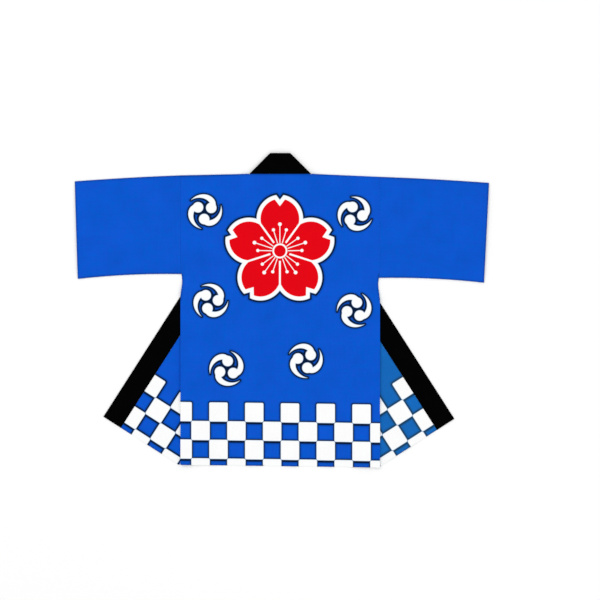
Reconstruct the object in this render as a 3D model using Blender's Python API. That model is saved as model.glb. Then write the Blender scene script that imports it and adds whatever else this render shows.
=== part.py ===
"""A happi coat, the short straight-cut festival coat, laid flat on its front.

The back lies uppermost.  Each front is folded under and outwards on a crease that
runs from the nape to the foot of the side seam, so its collar band and the lower
part of its face come out beyond the side.  The sleeves are flat tubes, open at the
cuff and at the armhole.  The collar is one long band: it crosses the nape, turns
down on a mitre at each side of the neck, and turns outwards on each front's crease.

Every cloth starts as its flat cut, is cut along its bend lines and then folded.
Metres, +Z up, +Y towards the collar, the wearer's left at -X.  Plan positions run
from the centre back and the hem until place() moves a finished piece.

Levels, from the floor: the folded-under part of the fronts, the rest of the fronts
with the lower side of the sleeves, and the back with the upper side of the sleeves.
"""

import math
from collections import namedtuple

import bmesh
import bpy
from mathutils import Vector

# The cut of the coat.
BODY_LENGTH = 0.876        # nape to hem
HALF_WIDTH = 0.299         # centre back to side seam
COLLAR_WIDTH = 0.062
COLLAR_PARTING = 0.030     # centre back to the collar's free edge
NECK_HALF = COLLAR_PARTING + COLLAR_WIDTH
NECK_NICK = 0.004          # snipped into the neck corners, clear of the collar's mitre

# The cloth.
CLOTH = 0.0012             # one thickness of the cotton
BAND = 0.0024              # the collar, folded double over its stiffener
AIR = 0.0005               # between cloths that lie on each other
SEAM = 0.0003              # between pieces sewn together

# How it is laid.  One row for each side of the coat.
# crease_in is how far inside the side seam the front's crease meets the line of its hem.
Side = namedtuple(
    "Side",
    "name sign reach cuff_lean shoulder_drop armhole_depth back_hem front_hem crease_in",
)
SIDES = (
    Side("left", -1, 0.616, 0.009, 0.0045, 0.296, 0.0035, 0.0015, -0.0025),
    Side("right", 1, 0.626, 0.015, 0.0090, 0.303, -0.0045, -0.0025, 0.0018),
)
CREASE_LEAN = math.radians(16.3)   # the front's crease, from the centre back line

# The sleeve's edges fall away from the armhole by slope x share + bow x share^2.
Drop = namedtuple("Drop", "slope bow")
TOP_DROP = Drop(0.0115, 0.0065)
UNDER_DROP = Drop(-0.006, 0.0205)
SLEEVE_CROWN = 0.0026      # how much the upper side of a sleeve stands up
SLEEVE_SECTIONS = 9
ACROSS_SLEEVE = 8          # columns across one side of a sleeve
ROUND_STEPS = 4            # facets round a sleeve's edge

# Where a cloth comes down off the edge of what it lies on.
Ramp = namedtuple("Ramp", "distance share")
RAMP = (Ramp(0.0, 1.0), Ramp(0.008, 0.88), Ramp(0.024, 0.12), Ramp(0.032, 0.0))
NECK_RAMP_START = NECK_HALF + 0.004
HOLLOW_START = 0.004       # past a crease, where the back starts to sink
HOLLOW_STRETCH = 3.0       # the back's own ramps, as a multiple of RAMP
NAPE_STAY = 0.030          # how far below the nape the back is still held up

FOLD_STEPS = 12            # facets round a fold
CURL_STEPS = 3             # facets round a seamed edge
CURL_ANGLE = math.radians(54)   # leaves the two edges SEAM apart
CURL_FADE = 0.006          # over this length a seamed edge goes from flat to curled
CURL_FOOT = 0.030          # the side seam's curl ends this far above the hem
GRID = 0.11                # the most between cuts in a flat part of a cloth
TOUCH = 1e-6               # closer than this is on the line
SHARP = math.radians(40)   # edges bent more than this are drawn sharp

# Heights of the levels.
FRONT_TOP = 2 * BAND + AIR             # top of a front that lies on its own fold
FOLD_CENTRE = FRONT_TOP / 2            # of the creases
FOLD_MIDDLE = FRONT_TOP - CLOTH / 2    # both cloths bend here, so their seam stays closed
BACK_OVER_FRONT = FRONT_TOP + AIR      # underside of the back there
MITRE_CENTRE = FRONT_TOP + AIR / 2     # of the collar's mitres

# The origin is under the middle of the box that holds the coat.
CENTRE_BACK_X = (SIDES[0].reach - SIDES[1].reach) / 2
HEM_Y = -(BODY_LENGTH + COLLAR_WIDTH + min(side.back_hem for side in SIDES)) / 2


# ---------------------------------------------------------------- lines and heights


def crease(side):
    """A point of the front's crease, and its normal towards the part folded under."""
    foot = Vector((side.sign * (HALF_WIDTH - side.crease_in), side.front_hem))
    inward = Vector((-side.sign * math.cos(CREASE_LEAN), -math.sin(CREASE_LEAN)))
    return foot, inward


def crease_head(side):
    """Where the crease meets the collar's free edge."""
    run = HALF_WIDTH - side.crease_in - COLLAR_PARTING
    rise = run / math.tan(CREASE_LEAN)
    return Vector((side.sign * COLLAR_PARTING, side.front_hem + rise))


def folded_edge(side):
    """A point of the collar's free edge after folding, and its normal outwards."""
    turned = 2 * CREASE_LEAN
    outward = Vector((side.sign * math.cos(turned), math.sin(turned)))
    return crease_head(side), outward


def beyond(point, line):
    """Distance of a plan point past a line, along the line's normal."""
    origin, normal = line
    return (point.x - origin.x) * normal.x + (point.y - origin.y) * normal.y


def ramp_share(distance, stretch=1.0):
    """1 before the ramp, 0 after it, straight between the rows of RAMP."""
    if distance <= 0:
        return 1.0
    for near, far in zip(RAMP, RAMP[1:]):
        if distance < far.distance * stretch:
            part = (distance / stretch - near.distance) / (far.distance - near.distance)
            return near.share + part * (far.share - near.share)
    return 0.0


def side_of(x):
    return SIDES[0] if x < 0 else SIDES[1]


def front_top(x, y):
    """Height of the upper face of a front, where it isn't folded under."""
    side = side_of(x)
    off_fold = beyond(Vector((x, y)), folded_edge(side))
    off_neck = abs(x) - NECK_RAMP_START
    return CLOTH + (FRONT_TOP - CLOTH) * ramp_share(min(off_fold, off_neck))


def back_underside(x, y):
    """Height of the back's underside: on the fronts, and on the floor between them."""
    point = Vector((x, y))
    sunk = 1.0
    for side in SIDES:
        past = beyond(point, crease(side)) - HOLLOW_START
        sunk *= 1 - ramp_share(past, HOLLOW_STRETCH)
    below_nape = BODY_LENGTH - NAPE_STAY - y
    sunk *= 1 - ramp_share(below_nape, HOLLOW_STRETCH)
    return (front_top(x, y) + AIR) * (1 - sunk)


def front_ramp_lines(side):
    """The lines along which front_top() bends on one side of the coat."""
    origin, outward = folded_edge(side)
    across = Vector((side.sign, 0))
    neck = Vector((side.sign * NECK_RAMP_START, 0))
    lines = []
    for row in RAMP:
        lines.append((origin + outward * row.distance, outward))
        lines.append((neck + across * row.distance, across))
    meeting = Vector((neck.x, origin.y - (neck.x - origin.x) * outward.x / outward.y))
    lines.append((meeting, (outward - across).normalized()))
    return lines


def back_ramp_lines(side):
    """The lines along which the back sinks between the fronts."""
    origin, inward = crease(side)
    lines = []
    for row in RAMP:
        drop = row.distance * HOLLOW_STRETCH
        lines.append((origin + inward * (HOLLOW_START + drop), inward))
    return lines


def nape_lines():
    """Level lines along which the back sinks below the nape."""
    top = BODY_LENGTH - NAPE_STAY
    return [(Vector((0, top - row.distance * HOLLOW_STRETCH)), Vector((0, 1))) for row in RAMP]


def grid_lines(low, high, axis):
    """Evenly spaced lines between low and high, no more than GRID apart."""
    count = math.ceil((high - low) / GRID)
    step = (high - low) / count
    return [(axis * (low + step * i), axis) for i in range(1, count)]


# ---------------------------------------------------------------- working the cloth


def flat_cloth(outline, bottom, thickness):
    """A flat slab of cloth with this outline, as a bmesh."""
    bm = bmesh.new()
    ring = [bm.verts.new((x, y, bottom)) for x, y in outline]
    bm.faces.new(ring)
    lifted = bmesh.ops.extrude_face_region(bm, geom=bm.faces[:], use_keep_orig=True)
    top = [item for item in lifted["geom"] if isinstance(item, bmesh.types.BMVert)]
    bmesh.ops.translate(bm, vec=(0, 0, thickness), verts=top)
    bmesh.ops.recalc_face_normals(bm, faces=bm.faces[:])
    return bm


def anywhere(co):
    return True


def cut(bm, lines, belongs=anywhere):
    """Adds edges where upright planes on these plan lines pass through the cloth."""
    for origin, normal in lines:
        faces = [f for f in bm.faces if all(belongs(v.co) for v in f.verts)]
        edges = {e for f in faces for e in f.edges}
        verts = {v for f in faces for v in f.verts}
        bmesh.ops.bisect_plane(
            bm,
            geom=[*verts, *edges, *faces],
            dist=TOUCH,
            plane_co=(origin.x, origin.y, 0),
            plane_no=(normal.x, normal.y, 0),
        )


def bent(co, start, normal, middle, curvature, reach):
    """co after the cloth bends past a line: down for a positive curvature, else up."""
    past = beyond(co, (start, normal))
    if past <= 0 or curvature == 0:
        return co
    arc = min(past, reach)
    rest = past - arc
    angle = arc * curvature
    offset = co.z - middle
    along = math.sin(angle) / curvature + rest * math.cos(angle) + offset * math.sin(angle)
    down = (1 - math.cos(angle)) / curvature + rest * math.sin(angle)
    x = co.x + normal.x * (along - past)
    y = co.y + normal.y * (along - past)
    return Vector((x, y, middle - down + offset * math.cos(angle)))


def fold_under(bm, line, middle, centre, belongs=anywhere):
    """Turns the cloth past a line under itself, round a centre height.

    middle is the height that keeps its length in the bend.
    """
    origin, normal = line
    radius = middle - centre
    reach = math.pi * radius
    start = origin - normal * (reach / 2)
    steps = [(start + normal * (reach * i / FOLD_STEPS), normal) for i in range(FOLD_STEPS + 1)]
    cut(bm, steps, belongs)
    for vert in bm.verts:
        if belongs(vert.co):
            vert.co = bent(vert.co, start, normal, middle, 1 / radius, reach)


def curl(bm, line, middle, turn, share):
    """Rolls a seamed edge over: turn is 1 to roll it down and -1 to roll it up."""
    origin, normal = line
    radius = (CLOTH + AIR) / 2
    reach = CURL_ANGLE * radius
    start = origin - normal * reach
    for i in range(CURL_STEPS):
        cut(bm, [(start + normal * (reach * i / CURL_STEPS), normal)])
    for vert in bm.verts:
        bend = turn * share(vert.co) / radius
        vert.co = bent(vert.co, start, normal, middle, bend, reach)


def between(value, low, high):
    """0 up to low and 1 from high, straight between them."""
    return min(max((value - low) / (high - low), 0.0), 1.0)


def material(name, colour, roughness):
    made = bpy.data.materials.new(name)
    made.use_nodes = True
    shader = made.node_tree.nodes["Principled BSDF"]
    shader.inputs["Base Color"].default_value = (*colour, 1.0)
    shader.inputs["Roughness"].default_value = roughness
    shader.inputs["Metallic"].default_value = 0.0
    return made


def place(bm, name, finish):
    """Moves a finished piece to the coat's origin and makes it an object."""
    bmesh.ops.translate(bm, vec=(CENTRE_BACK_X, HEM_Y, 0), verts=bm.verts[:])
    bmesh.ops.triangulate(bm, faces=bm.faces[:])
    bmesh.ops.recalc_face_normals(bm, faces=bm.faces[:])
    mesh = bpy.data.meshes.new(name)
    bm.to_mesh(mesh)
    bm.free()
    mesh.materials.append(finish)
    mesh.shade_smooth()
    mesh.set_sharp_from_angle(angle=SHARP)
    piece = bpy.data.objects.new(name, mesh)
    bpy.context.scene.collection.objects.link(piece)


# ---------------------------------------------------------------- the seams' edges


def shoulder_line(side):
    """The shoulder edge of one side, and its normal away from the body."""
    neck = Vector((side.sign * (NECK_HALF + NECK_NICK), BODY_LENGTH - SEAM))
    tip = Vector((side.sign * HALF_WIDTH, BODY_LENGTH - SEAM - side.shoulder_drop))
    along = (tip - neck).normalized()
    return neck, Vector((-along.y, along.x)) * side.sign


def armpit(side):
    return BODY_LENGTH - side.shoulder_drop - side.armhole_depth


def curl_seams(bm, side, middle, turn):
    """Rolls over the shoulder edge and the side edge below the armhole."""
    level = Vector((0, 1))
    foot = side.front_hem + CURL_FOOT
    under = armpit(side)
    stops = (foot, foot + CURL_FADE, under - CURL_FADE, under)
    cut(bm, [(Vector((0, y)), level) for y in stops])
    neck_stop = Vector((side.sign * (NECK_HALF + CURL_FADE), 0))
    cut(bm, [(neck_stop, Vector((side.sign, 0)))])

    def at_shoulder(co):
        return between(co.x * side.sign, NECK_HALF, NECK_HALF + CURL_FADE)

    def at_side(co):
        if co.x * side.sign < 0:
            return 0.0
        risen = between(co.y, foot, foot + CURL_FADE)
        return risen * (1 - between(co.y, under - CURL_FADE, under))

    edge = Vector((side.sign * (HALF_WIDTH - SEAM / 2), 0)), Vector((side.sign, 0))
    curl(bm, edge, middle, turn, at_side)
    curl(bm, shoulder_line(side), middle, turn, at_shoulder)


def own_half(side):
    """Tests for the points on one side's half of the coat."""
    return lambda co: co.x * side.sign > -TOUCH


def turned_down(side):
    """Tests for the points of the collar that one side's mitre has turned down."""
    return lambda co: co.x * side.sign > 0 and co.z < MITRE_CENTRE


# ---------------------------------------------------------------- the pieces


def back(finish):
    """The back, cut in one width.  It lies on both fronts and sinks between them."""
    edge = HALF_WIDTH - SEAM / 2
    left, right = SIDES
    nape = BODY_LENGTH - SEAM
    outline = [
        (-edge, left.back_hem),
        (edge, right.back_hem),
        (edge, nape - right.shoulder_drop),
        (NECK_HALF + NECK_NICK, nape),
        (NECK_HALF, nape - NECK_NICK),
        (NECK_HALF - NECK_NICK, nape),
        (NECK_NICK - NECK_HALF, nape),
        (-NECK_HALF, nape - NECK_NICK),
        (-NECK_HALF - NECK_NICK, nape),
        (-edge, nape - left.shoulder_drop),
    ]
    bm = flat_cloth(outline, 0, CLOTH)
    cut(bm, grid_lines(-edge, edge, Vector((1, 0))))
    cut(bm, grid_lines(0, BODY_LENGTH, Vector((0, 1))))
    cut(bm, nape_lines())
    for side in SIDES:
        cut(bm, front_ramp_lines(side), own_half(side))
        cut(bm, back_ramp_lines(side))
        curl_seams(bm, side, CLOTH / 2, 1)
    for vert in bm.verts:
        vert.co.z += back_underside(vert.co.x, vert.co.y)
    place(bm, "back", finish)


def front(side, finish):
    """One front, from shoulder to hem, with its inner part folded under."""
    edge = side.sign * (HALF_WIDTH - SEAM / 2)
    sewn = side.sign * (NECK_HALF + SEAM / 2)
    nape = BODY_LENGTH - SEAM
    outline = [
        (sewn, side.front_hem),
        (edge, side.front_hem),
        (edge, nape - side.shoulder_drop),
        (sewn + side.sign * NECK_NICK, nape),
        (sewn, nape - NECK_NICK),
    ]
    bm = flat_cloth(outline, -CLOTH, CLOTH)
    cut(bm, grid_lines(0, BODY_LENGTH, Vector((0, 1))))
    cut(bm, front_ramp_lines(side))
    curl_seams(bm, side, -CLOTH / 2, -1)
    for vert in bm.verts:
        vert.co.z += front_top(vert.co.x, vert.co.y)
    fold_under(bm, crease(side), FOLD_MIDDLE, FOLD_CENTRE)
    place(bm, "front_" + side.name, finish)


def collar(finish):
    """The collar band, from one hem round the nape to the other hem."""
    sewn = BODY_LENGTH + SEAM / 2
    free = BODY_LENGTH + COLLAR_WIDTH
    left_end, right_end = (
        side.sign * (NECK_HALF + BODY_LENGTH - side.front_hem) for side in SIDES
    )
    outline = [(left_end, sewn), (right_end, sewn), (right_end, free), (left_end, free)]
    bm = flat_cloth(outline, BACK_OVER_FRONT, BAND)
    cut(bm, grid_lines(left_end, right_end, Vector((1, 0))))
    for side in SIDES:
        mitre = Vector((side.sign * NECK_HALF, BODY_LENGTH)), Vector((side.sign, 1)).normalized()
        fold_under(bm, mitre, BACK_OVER_FRONT + BAND / 2, MITRE_CENTRE)
        fold_under(bm, crease(side), FOLD_MIDDLE, FOLD_CENTRE, turned_down(side))
    place(bm, "collar", finish)


def sleeve_ring(depth, crown, grow):
    """(distance up from the underarm edge, height) round one section of a sleeve.

    grow moves the ring off the middle of the cloth: outwards, or inwards if negative.
    """
    radius = (CLOTH + AIR) / 2
    centre = CLOTH + AIR / 2
    inset = radius + CLOTH / 2
    span = depth - 2 * inset
    ring = []
    for i in range(ACROSS_SLEEVE + 1):
        ring.append((inset + span * i / ACROSS_SLEEVE, centre - radius - grow))
    for i in range(1, ROUND_STEPS):
        angle = math.pi * i / ROUND_STEPS
        out = (radius + grow) * math.sin(angle)
        ring.append((depth - inset + out, centre - (radius + grow) * math.cos(angle)))
    for i in range(ACROSS_SLEEVE, -1, -1):
        share = i / ACROSS_SLEEVE
        lift = crown * (1 - (2 * share - 1) ** 4)
        ring.append((inset + span * share, centre + radius + grow + lift))
    for i in range(1, ROUND_STEPS):
        angle = math.pi * i / ROUND_STEPS
        out = (radius + grow) * math.sin(angle)
        ring.append((inset - out, centre + (radius + grow) * math.cos(angle)))
    return ring


def sleeve(side, finish):
    """One sleeve: a flat tube folded along the top and seamed under the arm."""
    start = HALF_WIDTH + SEAM / 2
    length = side.reach - start
    shoulder = BODY_LENGTH - side.shoulder_drop
    bm = bmesh.new()
    walls = []
    for grow in (CLOTH / 2, -CLOTH / 2):
        rings = []
        for i in range(SLEEVE_SECTIONS):
            share = i / (SLEEVE_SECTIONS - 1)
            top_y = shoulder - TOP_DROP.slope * share - TOP_DROP.bow * share**2
            under_y = armpit(side) - UNDER_DROP.slope * share - UNDER_DROP.bow * share**2
            top = Vector((start + length * share, top_y))
            under = Vector((start + (length - side.cuff_lean) * share, under_y))
            crown = SLEEVE_CROWN * between(share, 0.0, 0.6)
            depth = (top - under).length
            up = (top - under) / depth
            ring = []
            for out, height in sleeve_ring(depth, crown, grow):
                spot = under + up * out
                ring.append(bm.verts.new((side.sign * spot.x, spot.y, height)))
            rings.append(ring)
        walls.append(rings)
    count = len(walls[0][0])
    for rings in walls:
        for near, far in zip(rings, rings[1:]):
            for i in range(count):
                j = (i + 1) % count
                bm.faces.new((near[i], near[j], far[j], far[i]))
    for end in (0, -1):
        outer, inner = walls[0][end], walls[1][end]
        for i in range(count):
            j = (i + 1) % count
            bm.faces.new((outer[i], outer[j], inner[j], inner[i]))
    place(bm, "sleeve_" + side.name, finish)


def build():
    for item in list(bpy.data.objects):
        bpy.data.objects.remove(item)
    blue = material("body_cloth", (0.005, 0.098, 0.638), 0.9)
    duller = material("right_front_cloth", (0.009, 0.138, 0.468), 0.9)
    black = material("collar_cloth", (0.004, 0.004, 0.004), 0.85)
    back(blue)
    for side, face in zip(SIDES, (blue, duller)):
        front(side, face)
        sleeve(side, blue)
    collar(black)


build()
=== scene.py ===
import math
from collections import namedtuple
from functools import partial, partialmethod

import bmesh
import bpy
from mathutils import Matrix, Vector


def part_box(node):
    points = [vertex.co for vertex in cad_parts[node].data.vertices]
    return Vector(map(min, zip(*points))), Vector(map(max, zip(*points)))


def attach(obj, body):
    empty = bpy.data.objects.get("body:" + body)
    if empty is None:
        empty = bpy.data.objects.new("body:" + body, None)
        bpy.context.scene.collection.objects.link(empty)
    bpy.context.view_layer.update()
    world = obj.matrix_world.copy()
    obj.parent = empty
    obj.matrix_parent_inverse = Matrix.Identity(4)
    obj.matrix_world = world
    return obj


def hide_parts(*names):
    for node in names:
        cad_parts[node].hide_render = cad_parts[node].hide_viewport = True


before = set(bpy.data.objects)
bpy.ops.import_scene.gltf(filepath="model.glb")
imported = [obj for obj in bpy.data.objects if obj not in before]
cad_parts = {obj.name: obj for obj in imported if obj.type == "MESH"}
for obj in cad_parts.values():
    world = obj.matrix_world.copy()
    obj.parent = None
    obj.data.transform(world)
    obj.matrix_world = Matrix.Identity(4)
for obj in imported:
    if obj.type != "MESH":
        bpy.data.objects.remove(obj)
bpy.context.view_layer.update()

scene = bpy.context.scene


# ==================== the back
# The back is one wide panel of plain-woven cotton, dyed blue round a red blossom, six
# white swirls and a hem of white checks.  It is cut in one width, sewn to the fronts at
# the shoulders and sides, and its hem is turned under and stitched.

# Its cut, measured from the centre back and the hem.
BODY_LENGTH = 0.876
HALF_WIDTH = 0.299
COLLAR_WIDTH = 0.062
COLLAR_PARTING = 0.030
NECK_HALF = COLLAR_PARTING + COLLAR_WIDTH
CORNER_SNIP = 0.0022  # cut off the neck corners before sewing
HEM_TURN = 0.020
HEM_RISE = 0.0005  # how far the turned hem stands out of the face
HEM_STEP = 0.0015  # half the width over which it does
CLOTH = 0.0012
BAND = 0.0024  # the collar's thickness
AIR = 0.0005  # between cloths that lie on each other
SEAM = 0.00015  # between two cloths that are sewn edge to edge
EDGE_ROUND = 0.0004
EDGE_FACETS = 2
RIM_TILT = 0.5  # a face of the rim stands steeper than this
CLOTH_GRID = 0.005
TOUCH = 1e-6

Side = namedtuple(
    "Side",
    "name sign reach cuff_lean shoulder_drop armhole_depth back_hem front_hem crease_in",
)
SIDES = (
    Side("left", -1, 0.616, 0.009, 0.0045, 0.296, 0.0035, 0.0015, -0.0025),
    Side("right", 1, 0.626, 0.015, 0.0090, 0.303, -0.0045, -0.0025, 0.0018),
)
LEFT, RIGHT = SIDES

# How it lies: on both fronts, and sunk to the table between their creases.
CREASE_LEAN = math.radians(16.3)
FRONT_TOP = 2 * BAND + AIR
BACK_OVER_FRONT = FRONT_TOP + AIR
FALL = 0.032  # over this length a cloth comes down off what it lies on
NECK_FALL_START = NECK_HALF + 0.004
HOLLOW_START = 0.004
HOLLOW_FALL = 3 * FALL
NAPE_STAY = 0.030
CURL_ANGLE = math.radians(78)
CURL_STEPS = 4
CURL_FADE = 0.006
CURL_FOOT = 0.030
SEAM_DIP = 0.0003
SEAM_DIP_REACH = 0.004
SEAM_HOLD = 0.035  # a seam keeps the soft folds down over this length
PULL = 0.0050  # how far the side seam is drawn in just under the arm
PULL_RISE = 0.030  # it starts this far above the armpit
PULL_FULL = 0.020  # is drawn in most this far below it
PULL_END = 0.072
PULL_REACH = 0.030  # and dies out this far to either side

back_low, back_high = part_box("back")
CENTRE_BACK_X = (back_low.x + back_high.x) / 2
HEM_Y = back_low.y - RIGHT.back_hem

# The soft folds of the upper layers.  Headings are in degrees from the X axis.
Fold = namedtuple("Fold", "x y heading length width height bow")
UPPER_FOLDS = (
    Fold(-0.214, 0.668, 52, 0.250, 0.017, 0.0024, 0.5),
    Fold(-0.168, 0.560, 66, 0.330, 0.024, 0.0016, -0.3),
    Fold(-0.246, 0.520, 84, 0.260, 0.015, 0.0013, 0.4),
    Fold(0.221, 0.655, 127, 0.220, 0.016, 0.0022, -0.6),
    Fold(0.152, 0.575, 108, 0.360, 0.026, 0.0014, 0.3),
    Fold(0.238, 0.440, 95, 0.210, 0.018, 0.0012, -0.4),
    Fold(-0.040, 0.410, 14, 0.340, 0.030, 0.0012, 0.4),
    Fold(0.070, 0.745, 171, 0.280, 0.026, 0.0010, -0.3),
    Fold(-0.207, 0.070, 87, 0.250, 0.020, 0.0022, 0.2),
    Fold(-0.094, 0.035, 94, 0.180, 0.025, 0.0014, -0.2),
    Fold(0.041, 0.055, 85, 0.260, 0.021, 0.0021, 0.3),
    Fold(0.148, 0.020, 92, 0.150, 0.017, 0.0012, 0.0),
    Fold(0.226, 0.065, 96, 0.230, 0.022, 0.0019, -0.3),
    Fold(-0.405, 0.772, 173, 0.310, 0.017, 0.0020, 0.3),
    Fold(-0.470, 0.705, 186, 0.240, 0.022, 0.0017, -0.4),
    Fold(-0.372, 0.652, 202, 0.190, 0.014, 0.0018, 0.3),
    Fold(-0.545, 0.640, 178, 0.150, 0.016, 0.0013, 0.2),
    Fold(0.398, 0.780, 8, 0.270, 0.019, 0.0018, -0.4),
    Fold(0.492, 0.716, -6, 0.260, 0.018, 0.0019, 0.3),
    Fold(0.366, 0.648, -24, 0.200, 0.015, 0.0020, -0.3),
    Fold(0.540, 0.642, 3, 0.160, 0.018, 0.0012, -0.2),
)


def between(value, low, high):
    """0 up to low and 1 from high, straight between them."""
    return min(max((value - low) / (high - low), 0.0), 1.0)


def ease(value, low, high):
    """0 up to low and 1 from high, with a soft start and end."""
    share = between(value, low, high)
    return share * share * (3 - 2 * share)


def raised(x, y, folds):
    """How far the soft folds lift the cloth at a plan point."""
    lift = 0.0
    for fold in folds:
        heading = math.radians(fold.heading)
        along = (x - fold.x) * math.cos(heading) + (y - fold.y) * math.sin(heading)
        if abs(along) >= fold.length / 2:
            continue
        across = (y - fold.y) * math.cos(heading) - (x - fold.x) * math.sin(heading)
        across -= fold.bow * along * abs(along) / fold.length
        fade = 1 - (2 * along / fold.length) ** 2
        lift += fold.height * fade * fade * math.exp(-((across / fold.width) ** 2))
    return lift


def side_of(x):
    return LEFT if x < 0 else RIGHT


def beyond(point, line):
    """Distance of a plan point past a line, along the line's normal."""
    origin, normal = line
    return (point.x - origin.x) * normal.x + (point.y - origin.y) * normal.y


def crease(side):
    """A point of the front's crease, and its normal towards the part folded under."""
    foot = Vector((side.sign * (HALF_WIDTH - side.crease_in), side.front_hem))
    inward = Vector((-side.sign * math.cos(CREASE_LEAN), -math.sin(CREASE_LEAN)))
    return foot, inward


def folded_edge(side):
    """A point of the collar's free edge where it is folded under, and its normal."""
    run = HALF_WIDTH - side.crease_in - COLLAR_PARTING
    head = Vector((side.sign * COLLAR_PARTING, side.front_hem + run / math.tan(CREASE_LEAN)))
    turned = 2 * CREASE_LEAN
    return head, Vector((side.sign * math.cos(turned), math.sin(turned)))


def front_top(x, y):
    """Height of the upper face of a front, where it isn't folded under."""
    off_fold = beyond(Vector((x, y)), folded_edge(side_of(x)))
    clear = ease(off_fold, 0, FALL) * ease(abs(x) - NECK_FALL_START, 0, FALL)
    return FRONT_TOP - (FRONT_TOP - CLOTH) * clear


def back_underside(x, y):
    """Height of the back's underside: on the fronts, and on the table between them."""
    sunk = ease(BODY_LENGTH - NAPE_STAY - y, 0, HOLLOW_FALL)
    for side in SIDES:
        sunk *= ease(beyond(Vector((x, y)), crease(side)) - HOLLOW_START, 0, HOLLOW_FALL)
    return (front_top(x, y) + AIR) * (1 - sunk)


def armpit(side):
    return BODY_LENGTH - side.shoulder_drop - side.armhole_depth


def shoulder_line(side):
    """The shoulder edge of one side, and its normal away from the body."""
    neck = Vector((side.sign * (NECK_HALF + CORNER_SNIP), BODY_LENGTH - SEAM))
    tip = Vector((side.sign * HALF_WIDTH, BODY_LENGTH - SEAM - side.shoulder_drop))
    along = (tip - neck).normalized()
    return neck, Vector((-along.y, along.x)) * side.sign


def side_line(side):
    return Vector((side.sign * (HALF_WIDTH - SEAM / 2), 0)), Vector((side.sign, 0))


def back_hem(x):
    """Height of the back's hem, which was sewn a little out of level."""
    return LEFT.back_hem + (RIGHT.back_hem - LEFT.back_hem) * (x / HALF_WIDTH + 1) / 2


def held_down(off_top, off_seam):
    """0 on the seams, which keep the layers together, and 1 well away from them."""
    return ease(off_top, 0, SEAM_HOLD) * ease(off_seam, 0, SEAM_HOLD)


def off_seams(flat, side):
    """How far a point of the flat cut is from the shoulder and from the armhole."""
    off_armhole = math.hypot(HALF_WIDTH - abs(flat.x), max(flat.y - armpit(side), 0))
    return -beyond(flat, shoulder_line(side)), off_armhole


def armhole_dip(side, off_edge, y):
    """How far an upper layer sinks into the armhole seam."""
    top = BODY_LENGTH - side.shoulder_drop
    share = ease(y, armpit(side), armpit(side) + SEAM_HOLD) * ease(top - y, 0, SEAM_HOLD)
    return SEAM_DIP * share * (1 - ease(off_edge, 0, SEAM_DIP_REACH))


def cut(bm, lines, belongs=lambda co: True, trim=False):
    """Adds edges where upright planes on these plan lines pass through the cloth."""
    for origin, normal in lines:
        faces = [f for f in bm.faces if all(belongs(v.co) for v in f.verts)]
        edges = {e for f in faces for e in f.edges}
        verts = {v for f in faces for v in f.verts}
        bmesh.ops.bisect_plane(
            bm,
            geom=[*verts, *edges, *faces],
            dist=TOUCH,
            plane_co=(*origin, 0),
            plane_no=(*normal, 0),
            clear_outer=trim,
        )


def snip(bm, corner):
    """Cuts a small notch down from a point of the upper edge."""
    foot = corner - Vector((0, CORNER_SNIP))
    near = 3 * CLOTH_GRID
    lines = [(foot, Vector((lean, -1)).normalized()) for lean in (-1, 1)]
    cut(bm, lines, lambda co: (co.xy - corner).length < near)
    middles = ((face, face.calc_center_median().xy - foot) for face in bm.faces)
    inside = [face for face, off in middles if abs(off.x) < off.y]
    bmesh.ops.delete(bm, geom=inside, context="FACES")


def rounded(bm, rim):
    """Rounds the edges where the faces of a rim meet the others."""
    edges = [e for e in bm.edges if len(rim & set(e.link_faces)) == 1]
    bmesh.ops.bevel(
        bm, geom=edges, offset=EDGE_ROUND, segments=EDGE_FACETS, profile=0.5, affect="EDGES"
    )


def flat_cloth(outline, bottom, thickness, grid, snips=()):
    """A slab of cloth on a fine grid, trimmed to a convex outline, with rounded edges."""
    low, high = (Vector([pick(axis) for axis in zip(*outline)]) for pick in (min, max))
    size, middle = high - low, (high + low) / 2
    bm = bmesh.new()
    bmesh.ops.create_grid(
        bm,
        x_segments=math.ceil(size.x / grid),
        y_segments=math.ceil(size.y / grid),
        size=0.5,
        matrix=Matrix.Translation((*middle, bottom)) @ Matrix.Diagonal((*size, 1, 1)),
    )
    for start, end in zip(outline, [*outline[1:], outline[0]]):
        along = Vector(end) - Vector(start)
        cut(bm, [(start, (along.y, -along.x))], trim=True)
    for corner in snips:
        snip(bm, corner)
    lifted = bmesh.ops.extrude_face_region(bm, geom=bm.faces[:], use_keep_orig=True)
    top = [item for item in lifted["geom"] if isinstance(item, bmesh.types.BMVert)]
    bmesh.ops.translate(bm, vec=(0, 0, thickness), verts=top)
    bmesh.ops.recalc_face_normals(bm, faces=bm.faces[:])
    rounded(bm, {f for f in bm.faces if abs(f.normal.z) < RIM_TILT})
    return bm


def bent(co, start, normal, middle, curvature, reach):
    """co after the cloth bends past a line: down for a positive curvature, else up."""
    past = beyond(co, (start, normal))
    if past <= 0 or curvature == 0:
        return co
    arc = min(past, reach)
    rest = past - arc
    angle = arc * curvature
    offset = co.z - middle
    along = math.sin(angle) / curvature + rest * math.cos(angle) + offset * math.sin(angle)
    down = (1 - math.cos(angle)) / curvature + rest * math.sin(angle)
    x = co.x + normal.x * (along - past)
    y = co.y + normal.y * (along - past)
    return Vector((x, y, middle - down + offset * math.cos(angle)))


ROLL_RADIUS = (CLOTH + AIR) / 2  # of the middle of a cloth that turns right over
CURL_REACH = CURL_ANGLE * ROLL_RADIUS


def lines_along(line, offsets):
    """Lines beside a line, where the cloth needs edges to bend or step."""
    origin, normal = line
    return [(origin + normal * offset, normal) for offset in offsets]


def curl_lines(side):
    """Where the seamed edges roll over."""
    offsets = [CURL_REACH * (i / CURL_STEPS - 1) for i in range(CURL_STEPS)]
    return lines_along(side_line(side), offsets) + lines_along(shoulder_line(side), offsets)


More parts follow.
